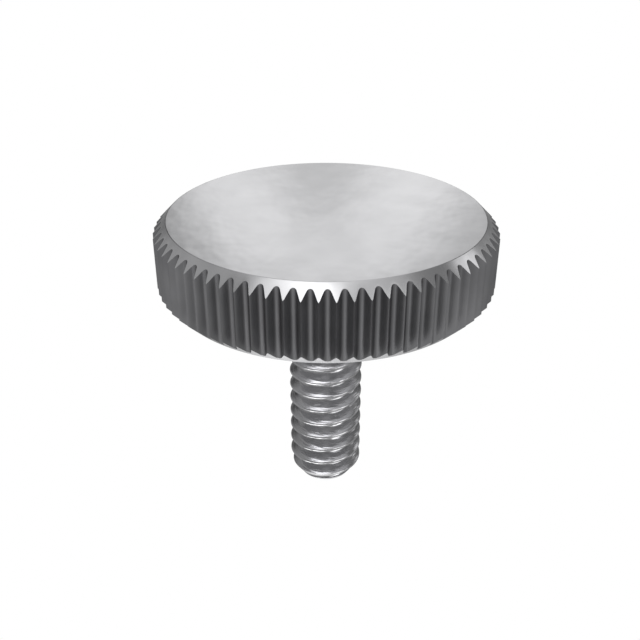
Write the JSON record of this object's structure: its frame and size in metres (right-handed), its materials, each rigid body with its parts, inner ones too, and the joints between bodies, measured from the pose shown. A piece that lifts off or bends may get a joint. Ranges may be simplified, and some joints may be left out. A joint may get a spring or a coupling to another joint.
{
  "type": "thumb screw",
  "caption": "Low-profile thumb screw: a thin disc head with a straight-knurled, chamfered rim and a fully threaded shank, tightened by hand.",
  "frame": {"origin": "centre of the head's flat outer face, which the screw stands on", "axes": "+Z along the screw's axis, from the head towards the tip of the shank; X and Y in the plane of the head's face"},
  "size_m": [0.0208, 0.0208, 0.0191],
  "materials": {
    "turned_steel": "bright turned steel, fine lathe marks"
  },
  "bodies": {
    "root": {"thumb_screw": "turned_steel"}
  },
  "joints": []
}
